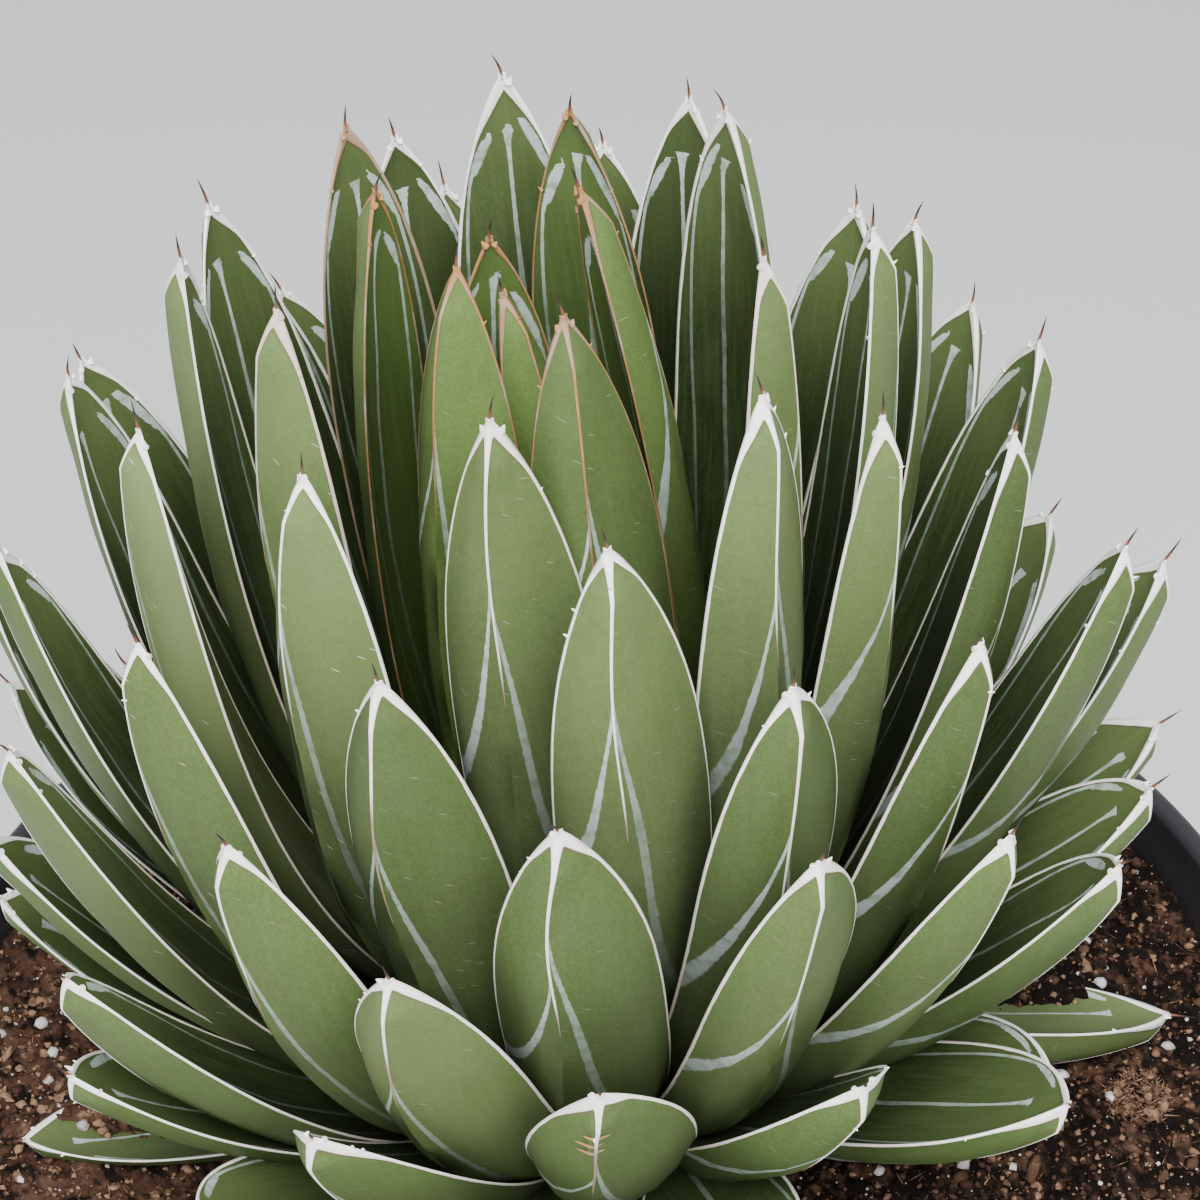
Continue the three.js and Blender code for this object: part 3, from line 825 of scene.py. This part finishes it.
def leaf_finish():
    finish = Finish("leaf skin", Specular_IOR_Level=0.3)
    horn, inner, down, reach, left, right, middle, spine, tan, age, flecks, tone = map(
        finish.field, Skin.FIELDS
    )

    drift = finish.cloud(22)
    patch = finish.cloud(95, detail=4)
    mottle = finish.cloud(420)
    grain = finish.cloud(1500, detail=2)
    drawn_out = finish.stretched(reach * 0.9, down * 0.05, age * 40)
    lengthwise = finish.cloud(1, detail=4, where=drawn_out)

    # Flesh: a grey bloom thickens down the outer face, and the inner face is deeper green. Lower
    # down, both take painted shade.
    outer = finish.mix(age.between(0.2, 0.42), (91, 110, 61), (74, 95, 43))
    bloom = down.between(15, 95) * drift.between(0.25, 0.7, 0.45, 0.95)
    outer = finish.mix(bloom, outer, (80, 94, 59))
    # Painted shade: the outer face darkens from 75 mm down toward the foot, most on young leaves deep
    # in the rosette.
    low = finish.mix(age.between(0.24, 0.36), (40, 54, 27), (61, 78, 34))
    outer = finish.mix(down.between(75, 170) * 0.75, outer, low)
    # Painted shade: the inner face darkens from the tip to 75 mm down, into a near-black green.
    inner_flesh_and_shade = finish.mix(down.between(0, 75), (81, 97, 54), (33, 47, 19))
    even = inner.between(0.5, 0.75, 1, 0.35)
    flesh = finish.layered(
        finish.mix(inner.between(0.5, 0.75), outer, inner_flesh_and_shade),
        (age.between(0, 0.14, 0.65, 0), (81, 110, 40)),
        (lengthwise.between(0.35, 0.75) * 0.16, (103, 119, 74)),
        (patch.between(0.45, 0.8) * 0.22, (65, 85, 43)),
        (mottle.between(0.4, 0.75) * even * 0.2, (65, 76, 43)),
        (grain.between(0.35, 0.75) * even * 0.26, (116, 133, 86)),
        # Painted light and shade: paler leaves are lifted toward a pale green and darker ones sunk
        # toward a near-black green.
        (tone.between(0, 1) * 0.35, (130, 145, 94)),
        (tone.between(-1, 0, 0.45, 0), (24, 36, 13)),
    )

    # Prints of the neighbours, in a pale blue-grey wax.
    wander = (patch - 0.5) * 0.6 + (mottle - 0.5) * 0.6 + (grain - 0.5) * 0.4
    rim = down.between(60, 170, 1.12, 1.6)
    steep, shallow, stripe = (
        (abs(line) + wander).between(0.85, rim, 1, 0)
        for line in (left, right, middle)
    )
    faded = down.between(16, 60, 1, 0.35)
    fading = finish.node("ShaderNodeMapRange", {}, inner, 0.5, 0.75, 1, faded)
    prints = steep.most(shallow * inner.between(0.5, 0.75, 0.6, 1)).most(stripe) * fading
    worn = finish.cloud(260, detail=4).between(0.3, 0.55, 0.5, 0.95)
    wax = finish.mix(down.between(40, 140), (178, 192, 187), (112, 123, 110))
    flesh = finish.mix(prints * worn, flesh, wax)

    # Short pale scratches that lie aslant on the outer face of some leaves.
    along = reach * 0.82 + down * 0.57
    across = down * 0.82 - reach * 0.57
    aslant = finish.stretched(along * 0.1, across * 1.1, age * 90)
    chosen = finish.cells(1, aslant, output="Color").between(0.66, 0.68)
    scratched = finish.cells(1, aslant).between(0.07, 0.13, 1, 0) * chosen
    scratched = scratched * flecks.between(0.3, 0.9, 0.25, 1) * inner.between(0.3, 0.5, 1, 0)
    flesh = finish.mix(scratched * 0.8, flesh, (214, 224, 198))

    # Horn: white, tan in the heart, brown where it ends in the spine and along its border.
    ragged = horn + (patch - 0.5) * 0.18
    border = ragged.between(1, 1.1) * ragged.between(1.1, 1.45, 1, 0)
    flesh = finish.mix(border * down.between(20, 90, 0.6, 0.25), flesh, (92, 80, 54))
    bleached = finish.mix(down.between(15, 110), (252, 251, 248), (222, 214, 196))
    bleached = finish.mix(mottle.between(0.55, 0.75) * 0.3, bleached, (222, 196, 180))
    toasted = finish.mix(patch.between(0.3, 0.75), (128, 86, 46), (172, 130, 84))
    toasted = finish.mix(down.between(10, 60, 0, 0.7), toasted, (106, 84, 46))
    white = finish.mix(tan * patch.between(0.2, 0.6, 0.75, 1), bleached, toasted)
    stained = patch.between(0.6, 0.75) * down.between(1, 12, 0.5, 0)
    white = finish.mix(stained, white, (150, 104, 76))
    bare = ragged.between(0.92, 1.04, 1, 0)
    surface = finish.mix(bare, flesh, white)
    thorny = finish.mix(spine.between(0.5, 0.75), (112, 74, 54), (46, 36, 36))
    surface = finish.mix(spine.between(0.3, 0.5), surface, thorny)

    finish.give(Base_Color=surface, Roughness=grain * 0.1 + patch * 0.12 + 0.48 + bare * 0.08)
    finish.bumps(grain * 0.25 + patch * 0.5 + prints * 0.3 + scratched * 0.3, 0.12)
    return finish.material


def stem_finish():
    finish = Finish("stem flesh", Roughness=0.7)
    patch = finish.cloud(120)
    finish.give(Base_Color=finish.mix(patch, (45, 51, 29), (85, 86, 54)))
    finish.bumps(patch, 0.4)
    return finish.material


def pot_finish():
    """Recycled dark plastic: even and satin, with a fine moulded grain and dust in patches."""
    finish = Finish("pot plastic", Specular_IOR_Level=0.8)
    dust = finish.cloud(9, detail=6, roughness=0.65)
    grain = finish.cloud(900, detail=2)
    drawn = finish.cloud(60)
    surface = finish.layered(
        (30, 30, 34),
        (dust.between(0.45, 0.8) * 0.35, (58, 56, 56)),
        (drawn.between(0.4, 0.8) * 0.2, (23, 23, 27)),
    )
    finish.give(Base_Color=surface, Roughness=dust * 0.25 + grain * 0.1 + 0.24)
    finish.bumps(grain * 0.5 + drawn * 0.5, 0.05)
    return finish.material


def soil_finish():
    """Peat, bark and fibre: each crumb has its own brown, from the number in its hue field."""
    finish = Finish("peat and bark", Specular_IOR_Level=0.1)
    hue = finish.field("hue")
    rough = finish.cloud(700, detail=4, roughness=0.65)
    specks = finish.cloud(380, detail=5, roughness=0.7)
    hue = hue + (specks - 0.5) * 1.2
    surface = finish.layered(
        (17, 11, 8),
        (hue.between(0, 0.55), (79, 57, 45)),
        (hue.between(0.55, 1), (146, 115, 92)),
        (rough.between(0.45, 0.75) * 0.5, (22, 15, 11)),
    )
    finish.give(Base_Color=surface, Roughness=rough * 0.2 + 0.72)
    finish.bumps(rough, 0.6)
    return finish.material


def perlite_finish():
    finish = Finish("perlite", Specular_IOR_Level=0.35)
    pore = finish.cells(900)
    smudge = finish.cloud(160, detail=4)
    surface = finish.layered(
        (200, 198, 197),
        (smudge.between(0.4, 0.7) * 0.7, (126, 110, 98)),
        (pore.between(0, 0.25, 0.35, 0), (128, 118, 110)),
    )
    finish.give(Base_Color=surface, Roughness=smudge * 0.2 + 0.7)
    finish.bumps(pore, 0.4)
    return finish.material


# ---- plant

leaf_skin = leaf_finish()
for leaf_number in [*range(1, LEAF_COUNT + 1), HALF_SUNK_LEAF]:
    leaf_piece(Leaf(leaf_number), leaf_skin)


def stem_piece():
    profile = [
        (0.5, -STEM_IN_SOIL),
        (STEM_UNDERSIDE_RADIUS, -STEM_IN_SOIL),
        *((stem_radius(t), stem_height(t)) for t in np.linspace(1, 0.02, 14)),
        (0.5, STEM_FOOT + STEM_RISE + 2),
    ]
    rings = turned_rings(profile, STEM_SIDES)
    x, y, z = (rings[:, :, k] for k in range(3))
    wave = 0.6 * np.sin(z * 0.9) * np.sin(np.arctan2(y, x) * 8 + math.pi / 4)
    rings[:, :, :2] *= (1 + wave / np.maximum(np.hypot(x, y), 5))[:, :, None]
    points = [tuple((PLANT @ Vector(p)) * MM) for p in rings.reshape(-1, 3)]
    faces = turned_faces(len(profile), STEM_SIDES)
    faces.append(list(range(STEM_SIDES - 1, -1, -1)))
    faces.append(list(range(len(points) - STEM_SIDES, len(points))))
    settle(mesh_piece("agave_stem", points, faces, stem_finish()), "stem")


stem_piece()

# ---- pot


def arc(middle, radius, start, end, steps):
    """Points on an arc in the profile plane, angles in degrees."""
    angles = np.radians(np.linspace(start, end, steps))
    return [(middle[0] + radius * math.cos(a), middle[1] + radius * math.sin(a)) for a in angles]


def pierced_plate(points, edge, height, up):
    """Faces that fill a ring of points, but for the drain holes, whose own points are added."""
    holes = []
    for k in range(DRAIN_HOLES):
        turn = 2 * math.pi * (k + 0.5) / DRAIN_HOLES
        middle = (DRAIN_CIRCLE * math.cos(turn), DRAIN_CIRCLE * math.sin(turn))
        hole = arc(middle, DRAIN_RADIUS, 0, 360, DRAIN_SIDES + 1)[:-1]
        holes.append(range(len(points), len(points) + len(hole)))
        points += [Vector((x, y, height)) * MM for x, y in hole]
    loops = [edge, *holes]
    order = [k for loop in loops for k in loop]
    faces = tessellate_polygon([[points[k] for k in loop] for loop in loops])
    placed = []
    for face in faces:
        a, b, c = (order[k] for k in face)
        rises = (points[b] - points[a]).cross(points[c] - points[a]).z > 0
        placed.append((a, b, c) if rises == up else (a, c, b))
    return placed, holes


def wall(foot, height, shares):
    """Points up the tapered wall, from a radius and height at its foot, at shares of the way up."""
    widening = POT_NECK_RADIUS - POT_FOOT_RADIUS
    return [(foot + widening * t, height + (POT_WALL_TOP - height) * t) for t in shares]


def pot_piece():
    """Wall, rolled rim and floor in one closed shell, with the drain holes through its floor."""
    lip = POT_RIM_WIDTH / 2
    foot = POT_FOOT_RADIUS - POT_FOOT_ROUND
    inner_foot = POT_FOOT_RADIUS - POT_WALL
    profile = [
        (POT_PLATE_RADIUS, 0),
        (foot, 0),
        *arc((foot, POT_FOOT_ROUND), POT_FOOT_ROUND, -80, 0, 5),
        *wall(POT_FOOT_RADIUS, POT_FOOT_ROUND, np.linspace(0.04, 0.985, 24)),
        (POT_NECK_RADIUS, POT_WALL_TOP),
        *arc((POT_RIM_RADIUS - 1, POT_WALL_TOP + 1), 1, -90, 0, 4),
        *arc((POT_RIM_RADIUS - lip, POT_HEIGHT - lip), lip, 0, 180, 13),
        (POT_NECK_RADIUS - 1.5, POT_WALL_TOP + 3),
        (POT_NECK_RADIUS - POT_WALL, POT_WALL_TOP - 1),
        *wall(inner_foot, POT_FLOOR, np.linspace(0.97, 0.02, 12)),
        (inner_foot - 2, POT_FLOOR),
        (POT_PLATE_RADIUS, POT_FLOOR),
    ]
    points = [Vector(p) * MM for p in turned_rings(profile, POT_SIDES).reshape(-1, 3)]
    faces = turned_faces(len(profile), POT_SIDES)
    last = len(points) - POT_SIDES
    under, low_holes = pierced_plate(points, range(POT_SIDES), 0, up=False)
    over, high_holes = pierced_plate(points, range(last, last + POT_SIDES), POT_FLOOR, up=True)
    faces += under + over
    for low, high in zip(low_holes, high_holes):
        for k in range(DRAIN_SIDES):
            n = (k + 1) % DRAIN_SIDES
            faces.append((low[k], high[k], high[n], low[n]))
    made = mesh_piece("pot_shell", points, faces, pot_finish())
    made.data.set_sharp_from_angle(angle=math.radians(50))
    settle(made, "pot")


pot_piece()

# ---- soil


# Middle, height and spread of the low mounds, in mm.
SOIL_MOUNDS = (
    (0, 0, 5, 70), (98, 20, 9, 19), (118, 22, 8, 14),
    (-94, -14, 7, 19), (-115, -21, 7.5, 15), (-133, -27, 6, 11),
)
SOIL_SIDES = 680
SOIL_RINGS = 96
# The lumps keep this far from the stem, but for the heap of coir.
SOIL_CLEAR = 50
COIR_MIDDLE = (136, -17)


def inside_pot(z):
    slope = (POT_NECK_RADIUS - POT_FOOT_RADIUS) / (POT_WALL_TOP - POT_FLOOR)
    return POT_FOOT_RADIUS - POT_WALL + slope * (z - POT_FLOOR)


def crumb_at(x, y, size):
    """How far up the nearest crumb a place lies, from 0 to 1, and that crumb's own number."""
    away, middles = noise.voronoi(Vector((x / size, y / size, size)))
    return min(1, 1.7 * (away[1] - away[0])), noise.cell(middles[0] * 7.3)


def leftward_paling(x):
    """How much paler the soil is, toward the left of the pot."""
    return 0.24 * smooth(50, 140, -x)


def soil_surface(x, y):
    """Height in mm above the pot's foot, and hue: clods and crumbs, low mounds, and creases darkened
    with painted shade.
    """
    wide = noise.fractal(Vector((x / 26, y / 26, 3)), 0.8, 2.0, 3)
    clod, clod_hue = crumb_at(x, y, 7)
    crumb, crumb_hue = crumb_at(x, y, 2.8)
    sunk = -2.0 * smooth(140, 168, math.hypot(x, y))
    mounds = sum(high * math.exp(-((x - at_x) ** 2 + (y - at_y) ** 2) / spread**2)
                 for at_x, at_y, high, spread in SOIL_MOUNDS)
    height = SOIL_TOP + 3.4 * wide + 2.2 * (clod - 0.6) + 1.3 * (crumb - 0.5) + sunk + mounds
    own_hue = 0.2 + 0.35 * clod_hue + 0.45 * crumb_hue
    # Painted shade: the hue darkens toward the low edges of every clod and crumb.
    return height, own_hue * (0.3 + 0.4 * crumb + 0.3 * clod) + leftward_paling(x)


def lay_soil(name, points, faces, hues, finish):
    made = mesh_piece(name, points, faces, finish)
    carry(made, "hue", hues)
    settle(made, "soil")


def soil_piece(finish):
    """The soil down to the pot's floor. Its surface is meshed coarser near the stem."""
    radii = [*np.linspace(1, 56, 7), *np.linspace(60, inside_pot(SOIL_TOP), SOIL_RINGS)]
    points = []
    hues = []
    for radius in radii:
        for k in range(SOIL_SIDES):
            angle = 2 * math.pi * k / SOIL_SIDES
            x = radius * math.cos(angle)
            y = radius * math.sin(angle)
            height, hue = soil_surface(x, y)
            points.append(Vector((x, y, height)) * MM)
            hues.append(hue)
    floor = POT_FLOOR + 0.3
    foot = turned_rings([(inside_pot(floor) - 0.3, floor)], SOIL_SIDES)[0]
    points += [Vector(p) * MM for p in foot]
    hues += [0.3] * SOIL_SIDES
    faces = [face[::-1] for face in turned_faces(len(radii) + 1, SOIL_SIDES)]
    faces.append(list(range(SOIL_SIDES)))
    faces.append(list(range(len(points) - 1, len(points) - SOIL_SIDES - 1, -1)))
    lay_soil("soil_bed", points, faces, hues, finish)


def lump(luck, stretch, coarse):
    """A rough closed lump: an octahedron, split once unless coarse, with its corners pushed about."""
    ends = (1, 0, 0), (-1, 0, 0), (0, 1, 0), (0, -1, 0), (0, 0, 1), (0, 0, -1)
    corners = [Vector(end) for end in ends]
    faces = [(0, 2, 4), (2, 1, 4), (1, 3, 4), (3, 0, 4), (2, 0, 5), (1, 2, 5), (3, 1, 5), (0, 3, 5)]
    middles = {}

    def half_way(a, b):
        key = (min(a, b), max(a, b))
        if key not in middles:
            middles[key] = len(corners)
            corners.append(((corners[a] + corners[b]) / 2).normalized())
        return middles[key]

    if not coarse:
        split = []
        for a, b, c in faces:
            ab, bc, ca = half_way(a, b), half_way(b, c), half_way(c, a)
            split += [(a, ab, ca), (b, bc, ab), (c, ca, bc), (ab, bc, ca)]
        faces = split
    turn = Vector([luck.uniform(-1, 1) for _ in range(3)]).to_track_quat("X", "Z")
    shaped = []
    for corner in corners:
        pushed = corner * luck.uniform(0.7, 1.25)
        shaped.append(turn @ Vector([part * size for part, size in zip(pushed, stretch)]))
    return shaped, faces


def scatter(name, finish, count, sizes, shape, sunk=0.2, hues=(0, 1), coarse=False, middle=(0, 0),
            reach=None, nearest=SOIL_CLEAR, piled=0):
    """Drops count lumps on the soil, sizes in mm, more of them small than large.

    They lie round middle, from nearest out to reach or the pot's wall, and piled high in its heart.
    """
    luck = random.Random(name)
    points = []
    faces = []
    hue = []
    small, large = sizes
    edge = reach or inside_pot(SOIL_TOP) - 0.3 * large
    for _ in range(count):
        size = small + (large - small) * luck.random() ** 2.4
        radius = math.sqrt(luck.uniform(nearest**2, edge**2))
        angle = luck.uniform(0, 2 * math.pi)
        x = middle[0] + radius * math.cos(angle)
        y = middle[1] + radius * math.sin(angle)
        stretch = [size / 2 * part * luck.uniform(0.8, 1.2) for part in shape]
        corners, split = lump(luck, stretch, coarse)
        lift = soil_surface(x, y)[0] + min(stretch) * (1 - 2 * sunk)
        lift += piled * luck.random() * (1 - (radius / edge) ** 2)
        first = len(points)
        points += [Vector((c.x + x, c.y + y, c.z * 0.8 + lift)) * MM for c in corners]
        faces += [tuple(first + i for i in face) for face in split]
        hue += [luck.uniform(*hues) + leftward_paling(x)] * len(corners)
    lay_soil(name, points, faces, hue, finish)


peat = soil_finish()
perlite = perlite_finish()
soil_piece(peat)
scatter("soil_grit", peat, 14000, (0.8, 3.0), (1.0, 0.8, 0.7), hues=(0.05, 1), coarse=True)
scatter("soil_crumbs", peat, 2900, (1.4, 4.4), (1.0, 0.85, 0.7), sunk=0.4, hues=(0, 0.85))
scatter("soil_chips", peat, 240, (4, 9), (1.0, 0.4, 0.22), sunk=0.3, hues=(0.3, 1))
scatter("soil_fibres", peat, 4200, (2, 7), (1.0, 0.08, 0.07), sunk=-1, hues=(0.4, 0.9), coarse=True)
scatter("soil_coir", peat, 420, (2, 9), (1.0, 0.09, 0.08), hues=(0.6, 0.95), coarse=True,
        middle=COIR_MIDDLE, reach=9, nearest=0, piled=5)
scatter("soil_coir_lumps", peat, 90, (1.5, 5), (1.0, 0.6, 0.5), hues=(0.6, 0.85),
        middle=COIR_MIDDLE, reach=8, nearest=0, piled=4)
scatter("soil_perlite", perlite, 420, (1.4, 4.8), (1.0, 0.9, 0.85))
scatter("soil_perlite_dust", perlite, 1500, (0.5, 1.3), (1.0, 0.9, 0.8), sunk=0, coarse=True)

# ---- floor, light and camera

FLOOR_HALF = 4.0


def floor_piece():
    corners = [(x * FLOOR_HALF, y * FLOOR_HALF, 0) for x, y in ((-1, -1), (1, -1), (1, 1), (-1, 1))]
    pale = Finish("pale floor", Base_Color=colour(226, 226, 225), Roughness=0.6)
    mesh_piece("floor", corners, [(0, 1, 2, 3)], pale.material)


def soft_light(name, place, aim, size, power):
    lamp = bpy.data.lights.new(name, "AREA")
    lamp.shape = "DISK"
    lamp.size = size
    lamp.energy = power
    made = in_scene(name, lamp)
    made.location = place
    made.rotation_euler = (Vector(aim) - Vector(place)).to_track_quat("-Z", "Y").to_euler()


floor_piece()
heart = PLANT @ Vector((0, 0, 120)) * MM
soft_light("softbox_above", (0.1, -1.0, 1.72), heart, 1.2, 75)
soft_light("softbox_left", (-1.4, -1.0, 1.0), heart, 1.0, 13)

world = bpy.data.worlds.new("studio")
world.use_nodes = True
sky = world.node_tree.nodes["Background"]
sky.inputs["Color"].default_value = (0.86, 0.89, 0.93, 1)
sky.inputs["Strength"].default_value = 0.7
bpy.context.scene.world = world

VIEW_DISTANCE = 0.8
VIEW_DOWN = math.radians(38)
VIEW_AIM = Vector((-1.4, 0, 413.5)) * MM
FOCAL_IN_PICTURES = 3433 / 1200


def camera():
    lens = bpy.data.cameras.new("camera")
    lens.lens = lens.sensor_width * FOCAL_IN_PICTURES
    made = in_scene("camera", lens)
    back = Vector((0, -math.cos(VIEW_DOWN), math.sin(VIEW_DOWN)))
    made.location = VIEW_AIM + back * VIEW_DISTANCE
    made.rotation_euler = (-back).to_track_quat("-Z", "Y").to_euler()
    bpy.context.scene.camera = made


camera()
